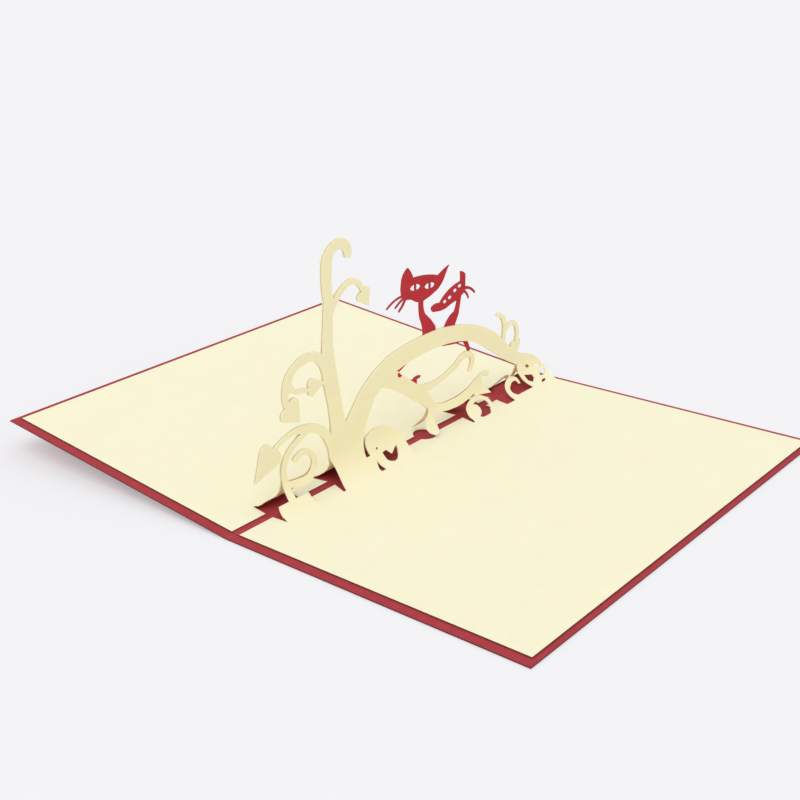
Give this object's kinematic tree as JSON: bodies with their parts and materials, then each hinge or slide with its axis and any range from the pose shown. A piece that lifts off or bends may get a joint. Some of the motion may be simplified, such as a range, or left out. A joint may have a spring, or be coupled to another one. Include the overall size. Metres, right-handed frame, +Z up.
{
  "type": "pop-up greeting card",
  "caption": "Pop-up greeting card lying open: a folded red card lined with cream sheets, whose scroll-cut tree layers bend up beside the spine and hold red cats above a bough.",
  "frame": {"origin": "under the middle of the spine, on the surface that the right wing rests on", "axes": "+X along the right wing away from the spine, +Y along the spine from front to back, +Z up"},
  "size_m": [0.1995, 0.15, 0.074],
  "materials": {
    "red_card": "matt, dyed through",
    "cream_paper": "matt"
  },
  "bodies": {
    "root": {"cover": "red_card", "right_leaf": "cream_paper", "left_leaf": "cream_paper", "cat_pair": "red_card"}
  },
  "joints": []
}
